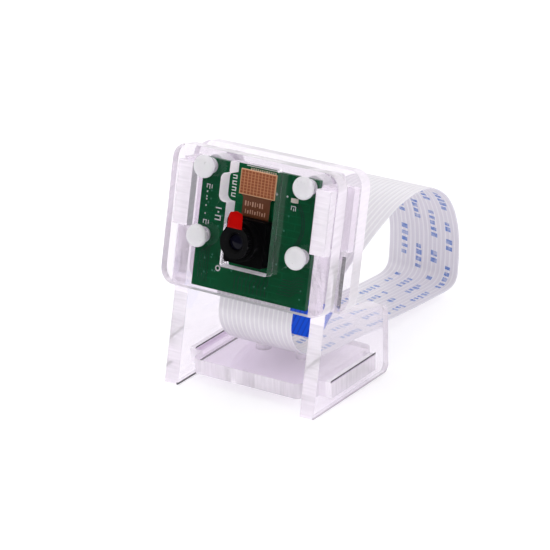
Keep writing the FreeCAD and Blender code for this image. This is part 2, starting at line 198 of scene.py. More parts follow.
# ---------------------------------------------------------------- ribbon sizes, in mm
CABLE_W = 16.0
CABLE_T = 0.3
STRIP_T = 0.2
STRIP_L = 8.0
NEAR_TIP_L = 3.6
FAR_TIP_L = 3.8
WAYS = 15
U_SPAN = 20.0                  # millimetres across the ribbon for one unit of u
V_PER_M = 10.0                 # units of v for one metre along it
FOLD = math.radians(50)        # edges sharper than this are split


# ---------------------------------------------------------------- materials
class Shader:
    """Small wrapper that makes node materials short to write."""

    def __init__(self, name, color=(0.8, 0.8, 0.8), roughness=0.5, **inputs):
        self.mat = bpy.data.materials.new(name)
        self.mat.use_nodes = True
        self.tree = self.mat.node_tree
        self.bsdf = self.tree.nodes["Principled BSDF"]
        self.out = self.tree.nodes["Material Output"]
        self.bsdf.inputs["Base Color"].default_value = (*color, 1)
        self.bsdf.inputs["Roughness"].default_value = roughness
        for key, value in inputs.items():
            self.bsdf.inputs[key.replace("_", " ")].default_value = value

    def node(self, kind, **settings):
        n = self.tree.nodes.new(kind)
        for key, value in settings.items():
            setattr(n, key, value)
        return n

    def wire(self, a, b):
        self.tree.links.new(a, b)

    def feed(self, socket, value):
        if isinstance(value, (int, float)):
            socket.default_value = value
        elif isinstance(value, tuple):
            socket.default_value = value if len(value) == len(socket.default_value) else (*value, 1)
        else:
            self.wire(value, socket)

    def math(self, op, a, b=None, c=None):
        n = self.node("ShaderNodeMath", operation=op)
        for socket, value in zip(n.inputs, (a, b, c)):
            if value is not None:
                self.feed(socket, value)
        return n.outputs[0]

    def both(self, a, b):
        return self.math("MULTIPLY", a, b)

    def either(self, a, b):
        return self.math("MAXIMUM", a, b)

    def between(self, value, low, high):
        return self.both(self.math("GREATER_THAN", value, low),
                         self.math("LESS_THAN", value, high))

    def blend(self, share, a, b):
        """Mix of two shaders."""
        n = self.node("ShaderNodeMixShader")
        self.feed(n.inputs[0], share)
        self.wire(a, n.inputs[1])
        self.wire(b, n.inputs[2])
        return n.outputs[0]

    def mix(self, fac, a, b):
        n = self.node("ShaderNodeMix", data_type="RGBA")
        self.feed(n.inputs[0], fac)
        self.feed(n.inputs[6], a)
        self.feed(n.inputs[7], b)
        return n.outputs[2]

    def coords(self, kind="Object"):
        return self.node("ShaderNodeTexCoord").outputs[kind]

    def split(self, vector):
        n = self.node("ShaderNodeSeparateXYZ")
        self.wire(vector, n.inputs[0])
        return n.outputs

    def join(self, x, y, z=0.0):
        n = self.node("ShaderNodeCombineXYZ")
        for socket, value in zip(n.inputs, (x, y, z)):
            self.feed(socket, value)
        return n.outputs[0]

    def noise(self, scale, detail=3.0, vector=None, rough=0.5):
        n = self.node("ShaderNodeTexNoise")
        n.inputs["Scale"].default_value = scale
        n.inputs["Detail"].default_value = detail
        n.inputs["Roughness"].default_value = rough
        self.wire(vector if vector is not None else self.coords(), n.inputs["Vector"])
        return n.outputs["Fac"]

    def ramp(self, value, low, high, out_low=0.0, out_high=1.0):
        n = self.node("ShaderNodeMapRange")
        self.feed(n.inputs[0], value)
        for i, v in enumerate((low, high, out_low, out_high)):
            n.inputs[i + 1].default_value = v
        return n.outputs[0]

    def color(self, value):
        self.feed(self.bsdf.inputs["Base Color"], value)

    def rough(self, value):
        self.feed(self.bsdf.inputs["Roughness"], value)

    def bump(self, height, distance_mm, strength=1.0):
        n = self.node("ShaderNodeBump")
        n.inputs["Strength"].default_value = strength
        n.inputs["Distance"].default_value = distance_mm * MM
        self.feed(n.inputs["Height"], height)
        self.wire(n.outputs[0], self.bsdf.inputs["Normal"])

    def facing(self, direction):
        """How far the surface faces along a fixed direction of the object, 0 to 1."""
        geo = self.node("ShaderNodeNewGeometry")
        dot = self.node("ShaderNodeVectorMath", operation="DOT_PRODUCT")
        self.wire(geo.outputs["True Normal"], dot.inputs[0])
        dot.inputs[1].default_value = tuple(direction)
        return self.math("ABSOLUTE", dot.outputs["Value"])


def plastic(name, color, spread=0.06, roughness=0.45, grain=900.0, depth=0.01, **inputs):
    """Moulded plastic: faint colour drift, fine grain, uneven gloss."""
    s = Shader(name, color, roughness, **inputs)
    drift = s.noise(220.0, 2.0)
    dark = tuple(c * (1 - spread) for c in color)
    light = tuple(min(1.0, c * (1 + spread)) for c in color)
    s.color(s.mix(drift, dark, light))
    s.rough(s.ramp(s.noise(grain * 0.5), 0.3, 0.7, roughness - 0.06, roughness + 0.08))
    s.bump(s.noise(grain * 4, 2.0), depth, 0.6)
    return s.mat


ACRYLIC_TINT = (0.955, 0.92, 0.965)
EDGE_VEIL = (0.6, 0.5)          # share of pale scatter on the cut edges, which carries their painted glow
LEG_HAZE = 0.1                  # least share of it on the legs
ARM_DEPTH = 0.005               # depth at which the legs' arms meet the rear plate
GLOW = (0.16, 0.5)              # painted light: emission of a cut edge, and of the arms' front edges, standing in for light carried inside the sheet


def edge_scatter_and_glow(s):
    """Pale scatter of a sawn edge with a painted glow (emission, though it is no lamp); returns its
    glow node and the mixed shader.
    """
    glow = s.node("ShaderNodeBsdfPrincipled")
    glow.inputs["Base Color"].default_value = (0.95, 0.91, 0.96, 1)
    glow.inputs["Roughness"].default_value = 0.6
    # painted light: the cut edge glows, standing in for light carried inside the sheet
    glow.inputs["Emission Color"].default_value = (0.98, 0.94, 1.0, 1)
    glow.inputs["Emission Strength"].default_value = GLOW[0]
    veil = s.node("ShaderNodeBsdfTranslucent")
    veil.inputs["Color"].default_value = (0.97, 0.93, 0.98, 1)
    return glow, s.blend(0.3, glow.outputs[0], veil.outputs[0])


def window_veil(s, amount, edge, streak, place):
    """Clear walls round the window; beside its left wall and on its sill the cut faces are frosted
    and also painted bright, a painted highlight where light catches them.
    """
    x, _, z = place
    wall = s.both(s.between(x, -0.0076, 0.0056), s.between(z, 0.0225, 0.0443))
    amount = s.both(amount, s.math("SUBTRACT", 1.0, wall))
    # painted highlight: full pale scatter on the frosted faces beside the left wall and on the sill
    beside = s.both(s.between(x, -0.0075, -0.0048), s.between(z, 0.0322, 0.0436))
    sill = s.both(s.between(x, -0.0056, 0.0056), s.between(z, 0.0225, 0.0252))
    sill = s.both(sill, s.math("GREATER_THAN", s.facing(UP), 0.7))
    frost_and_highlight = s.both(s.either(beside, sill), edge)
    return s.either(amount, s.both(frost_and_highlight, s.ramp(streak, 0.3, 0.7, 1.0, 0.9)))


def leg_shade_and_glow(s, top, glow, edge, streak, place):
    """Painted shade: dark lines where the photo shows them in the legs' slots, feet and arms,
    standing in for the shadow in the gaps; also painted light, a stronger glow on the arms' front
    edges.
    """
    x, y, z = place
    side = s.math("ABSOLUTE", x)
    inner_left = s.between(x, -0.01385, -0.0134)
    lips = s.either(s.math("GREATER_THAN", x, 0.01615), inner_left)
    # painted shade: thin dark lines at the slots' roofs and the legs' feet, standing in for the
    # shadow in the gaps
    roof = s.both(s.between(z, 0.005, 0.0054), s.between(y, -0.0069, 0.0085))
    foot = s.math("ADD", inner_left, s.both(s.math("GREATER_THAN", x, 0.01625), 0.4))
    foot = s.both(foot, s.math("LESS_THAN", z, 0.0004))
    slot_and_foot_shade = s.both(s.either(s.both(roof, lips), foot), 0.85)
    depth = s.math("SUBTRACT", s.both(s.math("ADD", y, FOOT), REAR.y), s.both(z, -REAR.z))
    # painted light: a stronger glow on the arms' front edges
    lit = s.both(s.between(depth, -0.0003, 0.0003), s.between(z, 0.017, 0.0305))
    s.feed(glow.inputs["Emission Strength"], s.ramp(lit, 0.0, 1.0, *GLOW))
    # painted shade: dark streaks where the arms meet the rear plate
    arm = s.both(s.between(depth, ARM_DEPTH - 0.0002, ARM_DEPTH + 0.0002),
                 s.between(z, 0.0185, 0.0278))
    arm = s.both(s.both(arm, edge), s.between(side, 0.0145, 0.0164))
    # the painted shade itself: a near-black diffuse mixed over the sheet
    shade = s.node("ShaderNodeBsdfDiffuse")
    shade.inputs["Color"].default_value = (0.02, 0.018, 0.022, 1)
    arm = s.both(arm, s.ramp(streak, 0.3, 0.7, 0.95, 0.6))
    return s.blend(s.either(slot_and_foot_shade, arm), top, shade.outputs[0])


def acrylic(name, direction, window=False, leg=False, tint=ACRYLIC_TINT, share=EDGE_VEIL):
    """Clear cast sheet: polished faces, faintly streaked pale cut edges with a painted glow."""
    s = Shader(name, tint, 0.0, Transmission_Weight=1.0, IOR=1.49)
    edge = s.math("LESS_THAN", s.facing(direction), 0.7)
    stretch = s.node("ShaderNodeMapping")
    s.wire(s.coords(), stretch.inputs["Vector"])
    stretch.inputs["Scale"].default_value = tuple(900.0 * (1 - 0.93 * abs(c)) for c in direction)
    streak = s.noise(2.4, 3.0, stretch.outputs[0])
    s.rough(s.both(edge, s.ramp(streak, 0.35, 0.7, 0.04, 0.12)))
    s.bump(s.both(edge, streak), 0.004, 0.3)
    glow, pale = edge_scatter_and_glow(s)
    amount = s.both(edge, s.ramp(streak, 0.3, 0.75, *share))
    place = s.split(s.coords())
    if window:
        amount = window_veil(s, amount, edge, streak, place)
    if leg:
        amount = s.either(amount, LEG_HAZE)
    top = s.blend(amount, s.bsdf.outputs[0], pale)
    if leg:
        top = leg_shade_and_glow(s, top, glow, edge, streak, place)
    clear = s.node("ShaderNodeBsdfTransparent")
    clear.inputs["Color"].default_value = (0.955, 0.94, 0.965, 1)
    ray = s.node("ShaderNodeLightPath")
    s.wire(s.blend(ray.outputs["Is Shadow Ray"], top, clear.outputs[0]), s.out.inputs["Surface"])
    return s.mat


def board_material():
    s = Shader("solder_mask", (0.0, 0.06, 0.03), 0.4, Coat_Weight=0.04, Coat_Roughness=0.12,
               Specular_IOR_Level=0.1)
    p = s.coords()
    x, y, z = s.split(p)
    brick = s.node("ShaderNodeTexBrick")
    brick.offset = 0.37
    brick.inputs["Scale"].default_value = 1.0
    brick.inputs["Brick Width"].default_value = 0.0042
    brick.inputs["Row Height"].default_value = 0.0013
    brick.inputs["Mortar Size"].default_value = 0.00011
    brick.inputs["Mortar Smooth"].default_value = 0.3
    s.wire(s.join(x, z), brick.inputs["Vector"])
    patch = s.ramp(s.noise(170.0, 1.0, p), 0.5, 0.54)
    track = s.math("MULTIPLY", brick.outputs["Fac"], patch)
    drift = s.noise(90.0, 2.0, p)
    base = s.mix(drift, (0.0002, 0.075, 0.023), (0.0004, 0.118, 0.038))
    base = s.mix(s.math("MULTIPLY", track, 0.35), base, (0.0015, 0.17, 0.06))
    edge = s.math("LESS_THAN", s.facing(REAR), 0.7)
    fibre = s.noise(2600.0, 2.0, p)
    base = s.mix(edge, base, s.mix(fibre, (0.02, 0.10, 0.05), (0.05, 0.17, 0.09)))
    s.color(base)
    s.rough(s.ramp(drift, 0.3, 0.7, 0.32, 0.46))
    s.bump(s.math("ADD", track, s.math("MULTIPLY", s.noise(1800.0, 2.0, p), 0.12)), 0.02, 0.6)
    return s.mat


def ribbon_material():
    """White film: one faint line per conductor, plain blue dashes on the inner face."""
    s = Shader("ribbon_film", (0.8, 0.78, 0.85), 0.38, Coat_Weight=0.2, Coat_Roughness=0.25)
    uv = s.coords("UV")
    u, v, _ = s.split(uv)
    inner = s.math("GREATER_THAN", u, 0.5)
    across = s.math("MULTIPLY", s.math("SUBTRACT", u, inner), U_SPAN)
    along = s.math("MULTIPLY", v, 1.0 / (V_PER_M * MM))
    in_pitch = s.math("ABSOLUTE", s.math("SUBTRACT", s.math("FRACT", across), 0.5))
    gap = s.ramp(in_pitch, 0.30, 0.44)
    drift = s.noise(60.0, 2.0)
    base = s.mix(gap, s.mix(drift, (0.80, 0.765, 0.83), (0.85, 0.815, 0.875)), (0.94, 0.92, 0.955))
    row_pos = s.math("DIVIDE", s.math("SUBTRACT", across, 2.2), 3.4)
    row = s.math("FLOOR", row_pos)
    in_row = s.math("FRACT", row_pos)
    slide = s.math("ADD", along, s.math("MULTIPLY", row, 2.3))
    slant = s.math("MULTIPLY", in_row, 0.5)
    cell_pos = s.math("DIVIDE", s.math("ADD", slide, slant), 1.35)
    cell = s.math("FLOOR", cell_pos)
    in_cell = s.math("FRACT", cell_pos)
    hashed = s.node("ShaderNodeTexWhiteNoise", noise_dimensions="2D")
    s.wire(s.join(cell, row), hashed.inputs["Vector"])
    chance = s.split(hashed.outputs["Color"])
    group = s.math("LESS_THAN", s.math("FRACT", s.math("DIVIDE", cell, 7.0)), 0.7)
    tall = s.math("MULTIPLY", s.math("GREATER_THAN", in_row, 0.2),
                  s.math("LESS_THAN", in_row, s.ramp(chance[2], 0.0, 1.0, 0.5, 0.64)))
    wide = s.math("MULTIPLY", s.math("GREATER_THAN", in_cell, 0.12),
                  s.math("LESS_THAN", in_cell, s.ramp(chance[1], 0.0, 1.0, 0.6, 0.9)))
    inked = s.math("MULTIPLY", s.math("MULTIPLY", tall, wide), group)
    inked = s.math("MULTIPLY", inked, s.math("GREATER_THAN", chance[0], 0.12))
    inked = s.math("MULTIPLY", inked, inner)
    inked = s.math("MULTIPLY", inked, s.math("GREATER_THAN", across, 2.2))
    inked = s.math("MULTIPLY", inked, s.math("LESS_THAN", across, 15.0))
    worn = s.ramp(s.noise(1100.0, 2.0), 0.3, 0.62, 0.4, 0.95)
    base = s.mix(s.math("MULTIPLY", inked, worn), base, (0.10, 0.22, 0.62))
    s.color(base)
    s.rough(s.ramp(gap, 0.0, 1.0, 0.34, 0.44))
    s.bump(s.math("ADD", s.math("MULTIPLY", s.noise(700.0, 2.0), 0.2),
                  s.math("MULTIPLY", gap, -0.5)), 0.02, 0.5)
    return s.mat


def striped(name, base, line, roughness=0.3, **inputs):
    """Film with a faint line per conductor (across = UV x)."""
    s = Shader(name, base, roughness, **inputs)
    u, v, _ = s.split(s.coords("UV"))
    across = s.math("MULTIPLY", u, U_SPAN)
    part = s.math("ABSOLUTE", s.math("SUBTRACT", s.math("FRACT", across), 0.5))
    gap = s.ramp(part, 0.28, 0.42)
    drift = s.noise(300.0, 2.0)
    s.color(s.mix(s.math("MULTIPLY", gap, s.ramp(drift, 0.2, 0.8, 0.4, 0.9)), base, line))
    s.rough(s.ramp(drift, 0.3, 0.7, roughness - 0.05, roughness + 0.08))
    s.bump(gap, 0.015, 0.5)
    return s.mat


def nylon():
    s = Shader("nylon", (0.86, 0.84, 0.9), 0.34, Subsurface_Weight=0.6, Subsurface_Scale=0.0012,
               Transmission_Weight=0.12, IOR=1.5)
    s.bsdf.inputs["Subsurface Radius"].default_value = (1.0, 0.9, 1.0)
    drift = s.noise(700.0, 3.0)
    s.color(s.mix(drift, (0.86, 0.84, 0.90), (0.95, 0.93, 0.97)))
    s.rough(s.ramp(s.noise(1500.0), 0.3, 0.7, 0.27, 0.42))
    s.bump(s.noise(2600.0, 2.0), 0.015, 0.5)
    return s.mat


def metal(name, color, roughness=0.3, grain=1500.0):
    s = Shader(name, color, roughness, Metallic=1.0)
    drift = s.noise(grain, 3.0)
    s.color(s.mix(drift, tuple(c * 0.82 for c in color), color))
    s.rough(s.ramp(drift, 0.3, 0.7, roughness - 0.08, roughness + 0.14))
    s.bump(s.noise(grain * 2, 2.0), 0.008, 0.5)
    return s.mat


def copper_film():
    """Flex tail: amber film over fine copper lines running its length."""
    s = Shader("flex_film", (0.1, 0.03, 0.015), 0.35, Coat_Weight=0.05, Coat_Roughness=0.15,
               Specular_IOR_Level=0.15)
    u, v, _ = s.split(s.coords("UV"))
    line = s.math("ABSOLUTE", s.math("SUBTRACT", s.math("FRACT", s.math("MULTIPLY", u, 90.0)),
                                     0.5))
    lines = s.ramp(line, 0.18, 0.3)
    drift = s.noise(260.0, 2.0)
    base = s.mix(drift, (0.075, 0.022, 0.010), (0.13, 0.042, 0.018))
    s.color(s.mix(s.math("MULTIPLY", lines, 0.45), base, (0.20, 0.075, 0.03)))
    s.rough(s.ramp(drift, 0.3, 0.7, 0.24, 0.38))
    s.bump(lines, 0.012, 0.5)
    return s.mat


def lens_coating():
    s = Shader("lens_coating", (0.003, 0.003, 0.008), 0.06, Coat_Weight=0.04, Coat_Roughness=0.05,
               Coat_IOR=1.4, Specular_IOR_Level=0.1)
    s.bsdf.inputs["Coat Tint"].default_value = (0.75, 0.7, 1.0, 1)
    rings = s.node("ShaderNodeTexNoise")
    rings.inputs["Scale"].default_value = 500.0
    s.wire(s.coords(), rings.inputs["Vector"])
    s.color(s.mix(rings.outputs["Fac"], (0.002, 0.002, 0.006), (0.006, 0.006, 0.014)))
    s.rough(s.ramp(rings.outputs["Fac"], 0.3, 0.7, 0.02, 0.06))
    return s.mat


def red_film():
    s = Shader("red_film", (0.62, 0.003, 0.002), 0.42, Coat_Weight=0.02, Coat_Roughness=0.2,
               Specular_IOR_Level=0.03)
    drift = s.noise(500.0, 3.0)
    s.color(s.mix(drift, (0.36, 0.0006, 0.0004), (0.52, 0.002, 0.001)))
    s.rough(s.ramp(drift, 0.3, 0.7, 0.34, 0.48))
    s.bump(s.noise(900.0, 2.0), 0.02, 0.5)
    return s.mat


M = {
    "plate": acrylic("acrylic_plate", REAR, share=(0.86, 0.78)),
    "front": acrylic("acrylic_front", REAR, True),
    "leg": acrylic("acrylic_leg", Vector((1, 0, 0)), leg=True),
    # painted shade: the base sheet's tint is darker than the other sheets', standing in for the
    # shade under the ribbon
    "base": acrylic("acrylic_base_painted_shade", Vector((0, 0, 1)), tint=(0.87, 0.8, 0.895)),
    "board": board_material(),
    "ribbon": ribbon_material(),
    "blue": striped("stiffener_film", (0.0, 0.13, 0.95), (0.0, 0.055, 0.62), 0.35,
                    Coat_Weight=0.1, Coat_Roughness=0.15, Specular_IOR_Level=0.25),
    "nylon": nylon(),
    "ink": plastic("board_ink", (0.82, 0.83, 0.82), 0.08, 0.55, 1500.0),
    "plating": metal("ring_plating", (0.75, 0.75, 0.77), 0.28),
    "foam": plastic("foam_pad", (0.02, 0.02, 0.02), 0.3, 0.8, 500.0, 0.05),
    "black": plastic("black_moulding", (0.001, 0.001, 0.0013), 0.25, 0.5, 900.0, 0.012,
                     Specular_IOR_Level=0.04),
    "barrel": plastic("barrel_moulding", (0.0015, 0.0015, 0.002), 0.25, 0.42, 1200.0, 0.008,
                      Specular_IOR_Level=0.1),
    "sensor": plastic("sensor_die", (0.03, 0.035, 0.06), 0.4, 0.15, 1500.0, 0.004),
    "lens": lens_coating(),
    "red": red_film(),
    "flex": copper_film(),
    "copper": plastic("copper_pads", (0.27, 0.075, 0.028), 0.3, 0.45, 700.0, 0.01,
                      Specular_IOR_Level=0.3),
    "grid_base": plastic("grid_base", (0.50, 0.20, 0.085), 0.12, 0.5, 1200.0),
    "grid_rim": plastic("grid_rim", (0.72, 0.42, 0.24), 0.08, 0.45, 1200.0),
    "mark": plastic("flex_mark", (0.50, 0.27, 0.19), 0.08, 0.45, 1200.0),
    "tan": plastic("connector_tan", (0.66, 0.58, 0.45), 0.08, 0.45, 1200.0),
    "cream": plastic("connector_cream", (0.72, 0.68, 0.57), 0.06, 0.42, 1200.0),
    "latch": plastic("latch_moulding", (0.035, 0.026, 0.022), 0.15, 0.4, 1200.0),
    "gold": metal("contact_gold", (0.80, 0.56, 0.24), 0.26, 1800.0),
    "solder": metal("solder", (0.70, 0.70, 0.71), 0.34, 1600.0),
    "ceramic": plastic("chip_ceramic", (0.24, 0.16, 0.11), 0.15, 0.5, 1500.0),
    "package": plastic("package_black", (0.018, 0.018, 0.02), 0.2, 0.5, 1500.0, 0.008),
    "lid": metal("package_lid", (0.66, 0.66, 0.67), 0.25, 1200.0),
    "lamp": plastic("lamp_body", (0.84, 0.8, 0.68), 0.05, 0.3, 1500.0),
    "track": plastic("board_track", (0.0008, 0.028, 0.017), 0.1, 0.4, 1500.0,
                     Specular_IOR_Level=0.3),
    "via": plastic("board_via", (0.02, 0.2, 0.11), 0.15, 0.35, 1500.0),
}

LOOKS = {
    "front_plate": ("front", 0.12), "rear_plate": ("plate", 0.12),
    "left_leg": ("leg", 0.12), "right_leg": ("leg", 0.12), "base_plate": ("base", 0.12),
    "circuit_board": ("board", 0.0), "plated_rings": ("plating", 0.0),
    "case_nuts": ("nylon", 0.15), "board_washers": ("nylon", 0.05),
    "board_spacers": ("nylon", 0.15), "foam_pad": ("foam", 0.0),
    "camera_holder": ("black", 0.12), "image_sensor": ("sensor", 0.0),
    "lens_barrel": ("barrel", 0.0), "flex_connector": ("tan", 0.0),
    "indicator_lamp": ("lamp", 0.03), "chip_bodies": ("ceramic", 0.03),
    "chip_ends": ("solder", 0.03), "regulators": ("package", 0.05),
    "oscillator": ("lid", 0.05), "ribbon_connector": ("cream", 0.05),
    "connector_contacts": ("gold", 0.0), "connector_latch": ("latch", 0.06),
}
for node, (look, width) in LOOKS.items():
    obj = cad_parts[node]
    for i in range(max(1, len(obj.material_slots))):
        if not obj.material_slots:
            obj.data.materials.append(M[look])
        obj.material_slots[i].material = M[look]
    if width:
        bevel(obj, width, 3 if width > 0.1 else 2, weld=True)


# ---------------------------------------------------------------- ribbon
def lean_point(depth, height):
    """A point given by depth behind the front plate and height along the lean."""
    y = height * math.sin(LEAN) + depth * math.cos(LEAN)
    z = height * math.cos(LEAN) - depth * math.sin(LEAN)
    return (y, z)


ROUTE = [lean_point(2.8, 23.8), lean_point(2.7, 18.4),
         (5.7, 13.2), (7.9, 8.7), (12.6, 6.1), (20.5, 5.4), (28.5, 5.0), (37.0, 3.5),
         (47.0, 2.5), (57.0, 1.75), (65.3, 1.3), (66.1, 6.6), (66.2, 12.4), (64.2, 18.4),
         (60.2, 22.9), (53.8, 26.0), (45.0, 25.8), (37.4, 23.5), (30.4, 20.6), (23.6, 17.2),
         (17.5, 13.4), (12.7, 9.5)]


def route_line():
    """Points along the route's spline, read back from the curve itself."""
    curve = bpy.data.curves.new("ribbon_route", "CURVE")
    curve.dimensions = "3D"
    spline = curve.splines.new("NURBS")
    spline.points.add(len(ROUTE) - 1)
    for p, (y, z) in zip(spline.points, ROUTE):
        p.co = (0, y * MM - FOOT, z * MM, 1)
    spline.order_u = 3
    spline.use_endpoint_u = True
    spline.resolution_u = 14
    obj = link(bpy.data.objects.new("ribbon_route", curve))
    bpy.context.view_layer.update()
    mesh = bpy.data.meshes.new_from_object(obj)
    line = [v.co.copy() for v in mesh.vertices]
    bpy.data.objects.remove(obj)
    bpy.data.meshes.remove(mesh)
    if line[0].z < line[-1].z:
        line.reverse()
    return line


def distances(line):
    at = [0.0]
    for a, b in zip(line, line[1:]):
        at.append(at[-1] + (b - a).length)
    return at


LINE = route_line()
ALONG = distances(LINE)
LENGTH = ALONG[-1]


def trimmed(start, end):
    """The stretch of the route between two distances, as (point, distance)."""
    out = []
    for k in range(len(LINE) - 1):
        a, b = ALONG[k], ALONG[k + 1]
        for s in (start, end):
            if a < s < b:
                out.append((LINE[k].lerp(LINE[k + 1], (s - a) / (b - a)), s))
    out += [(p, s) for p, s in zip(LINE, ALONG) if start <= s <= end]
    return sorted(out, key=lambda item: item[1])


def normal_at(points, k):
    a = points[max(k - 1, 0)][0]
    b = points[min(k + 1, len(points) - 1)][0]
    t = (b - a).normalized()
    return Vector((0, -t.z, t.y))


def sweep(name, start, end, section, material, shift=0.0):
    """Closed section (x, offset, u) swept along the route; offsets are to the inner side."""
    points = trimmed(start, end)
    verts, uvs, faces = [], [], []
    n = len(section)
    for k, (p, s) in enumerate(points):
        normal = normal_at(points, k)
        for x, off, u in section:
            verts.append(p + Vector((x * MM, 0, 0)) + normal * (off * MM))
            uvs.append((u, s * V_PER_M))
    for k in range(len(points) - 1):
        for i in range(n):
            j = (i + 1) % n
            faces.append((k * n + i, k * n + j, (k + 1) * n + j, (k + 1) * n + i))
    faces.append(tuple(range(n - 1, -1, -1)))
    last = (len(points) - 1) * n
    faces.append(tuple(range(last, last + n)))
    return mesh_object(name, verts, faces, material, True, uvs)


def ribbon_section():
    """Flat conductors stand a little proud of the film between them."""
    half = CABLE_W / 2
    top, valley = CABLE_T / 2, CABLE_T / 2 - 0.05
    xs = [(-half, 0.08), (-half + 0.06, valley)]
    for k in range(WAYS):
        c = k - (WAYS - 1) / 2
        xs += [(c - 0.36, top), (c + 0.36, top)]
        if k < WAYS - 1:
            xs += [(c + 0.46, valley), (c + 0.54, valley)]
    xs += [(half - 0.06, valley), (half, 0.08)]
    outer = [(x, -h, (x + half) / U_SPAN) for x, h in xs]
    inner = [(x, h, 1.0 + (x + half) / U_SPAN) for x, h in reversed(xs)]
    return outer + inner


def strip_section(x0, x1, o0, o1, steps=32):
    """Flat strip with enough points across to follow the ribbon."""
    half = CABLE_W / 2
    xs = [x0 + (x1 - x0) * i / steps for i in range(steps + 1)]
    return ([(x, o0, (x + half) / U_SPAN) for x in xs]
            + [(x, o1, (x + half) / U_SPAN) for x in reversed(xs)])


def fingers(name, start, end, o0, o1):
    """One bared contact per conductor, as a row of thin bars."""
    verts, faces = [], []
    points = trimmed(start, end)
    for way in range(WAYS):
        c = way - (WAYS - 1) / 2
        ring = [(c - 0.35, o0), (c + 0.35, o0), (c + 0.35, o1), (c - 0.35, o1)]
        base = len(verts)
        for k, (p, s) in enumerate(points):
            normal = normal_at(points, k)
            for x, off in ring:
                verts.append(p + Vector((x * MM, 0, 0)) + normal * (off * MM))
        for k in range(len(points) - 1):
            for i in range(4):
                j = (i + 1) % 4
                faces.append((base + 4 * k + i, base + 4 * k + j,
                              base + 4 * k + 4 + j, base + 4 * k + 4 + i))
        faces.append((base + 3, base + 2, base + 1, base))
        e = base + 4 * (len(points) - 1)
        faces.append((e, e + 1, e + 2, e + 3))
    return mesh_object(name, verts, faces, M["gold"], False)


HALF_T = CABLE_T / 2
HALF_W = CABLE_W / 2
ribbon = finish_piece(sweep("ribbon", 0.0, LENGTH, ribbon_section(), M["ribbon"]),
                      "ribbon_white", "ribbon_cable")
edges = ribbon.modifiers.new("edges", "EDGE_SPLIT")
edges.split_angle = FOLD
near_strip = finish_piece(
    sweep("near_strip", 0.0, STRIP_L * MM, strip_section(-HALF_W, HALF_W, HALF_T, HALF_T + STRIP_T),
          M["blue"]), "stiffener_blue", "ribbon_near_stiffener")
far_strip = finish_piece(
    sweep("far_strip", LENGTH - STRIP_L * MM, LENGTH,
          strip_section(-HALF_W, HALF_W, -HALF_T - STRIP_T, -HALF_T), M["blue"]),
    "stiffener_blue", "ribbon_far_stiffener")
near_tips = finish_piece(fingers("near_tips", 0.0, NEAR_TIP_L * MM, -HALF_T - 0.04, -HALF_T + 0.02),
                         "contact_gold", "ribbon_near_contacts")
far_tips = finish_piece(fingers("far_tips", LENGTH - FAR_TIP_L * MM, LENGTH, HALF_T - 0.02,
                                HALF_T + 0.04), "contact_gold", "ribbon_far_contacts")
for strip in (near_strip, far_strip):
    cut = strip.modifiers.new("edges", "EDGE_SPLIT")
    cut.split_angle = FOLD


# ---------------------------------------------------------------- screws
HOLE_X = 10.8
HOLE_V = (9.7, 22.6)
SHANK_END = 10.5               # depth of the shank's end, from the board's front face
HEAD_BASE = -3.5               # depth of the plate's front face, under the head
HEAD = ((0.95, 0.0), (2.1, 0.0), (2.15, 0.07), (2.15, 0.3), (2.11, 0.52), (2.0, 0.74),
        (1.8, 0.92), (1.5, 1.06), (1.1, 1.15), (0.7, 1.185), (0.3, 1.195), (0.0, 1.2))
THREAD_PITCH = 0.4


def screw(name, x, v):
    """Plain domed head and a threaded shank."""
    m = Mesh()
    profile = [(0.0, SHANK_END), (0.75, SHANK_END), (0.93, SHANK_END - 0.25)]
    d = SHANK_END - THREAD_PITCH
    while d > -3.1:
        profile += [(0.78, d), (0.93, d - THREAD_PITCH * 0.5)]
        d -= THREAD_PITCH
    profile += [(r, HEAD_BASE - h) for r, h in HEAD]
    m.lathe(x, v, profile, 56)
    obj = m.object(name, M["nylon"])
    split = obj.modifiers.new("edges", "EDGE_SPLIT")
    split.split_angle = math.radians(48)
    return obj


screws = []
for row, v in enumerate(HOLE_V):
    for side, x in (("left", -HOLE_X), ("right", HOLE_X)):
        screws.append(screw("screw_%s_%s" % (("low", "high")[row], side), x, v))
finish_piece(screws[0], "nylon", "case_screws")
for obj in screws[1:]:
    finish_piece(obj, "nylon")


# ---------------------------------------------------------------- camera module
LENS_X = -0.55
LENS_V = 10.7
BARREL_TOP = -7.0


def lens_dome():
    m = Mesh()
    r = 1.48
    rise = 0.28
    front = BARREL_TOP + 0.72
    profile = [(0.0, front + rise + 0.2), (r, front + rise + 0.2), (r, front + rise)]
    for k in range(9):
        a = (k + 1) / 10
        profile.append((r * (1 - a), front + rise * (1 - a) ** 2))
    profile.append((0.0, front))
    m.lathe(LENS_X, LENS_V, profile, 48)
    return m.object("lens_dome", M["lens"])


finish_piece(lens_dome(), "lens_glass", "lens_glass")


def sheet_faces(rows, cols):
    """Faces of a thin sheet given as two grids of points, one per side."""
    faces = []
    w = cols + 1
    n = w * (rows + 1)
    for i in range(rows):
        for j in range(cols):
            a = i * w + j
            faces.append((a, a + 1, a + w + 1, a + w))
            faces.append((n + a, n + a + w, n + a + w + 1, n + a + 1))
    rim = ([i * w for i in range(rows + 1)] + [rows * w + j for j in range(1, w)]
           + [i * w + cols for i in range(rows - 1, -1, -1)] + list(range(cols - 1, 0, -1)))
    for a, b in zip(rim, rim[1:] + rim[:1]):
        faces.append((a, b, n + b, n + a))
    return faces


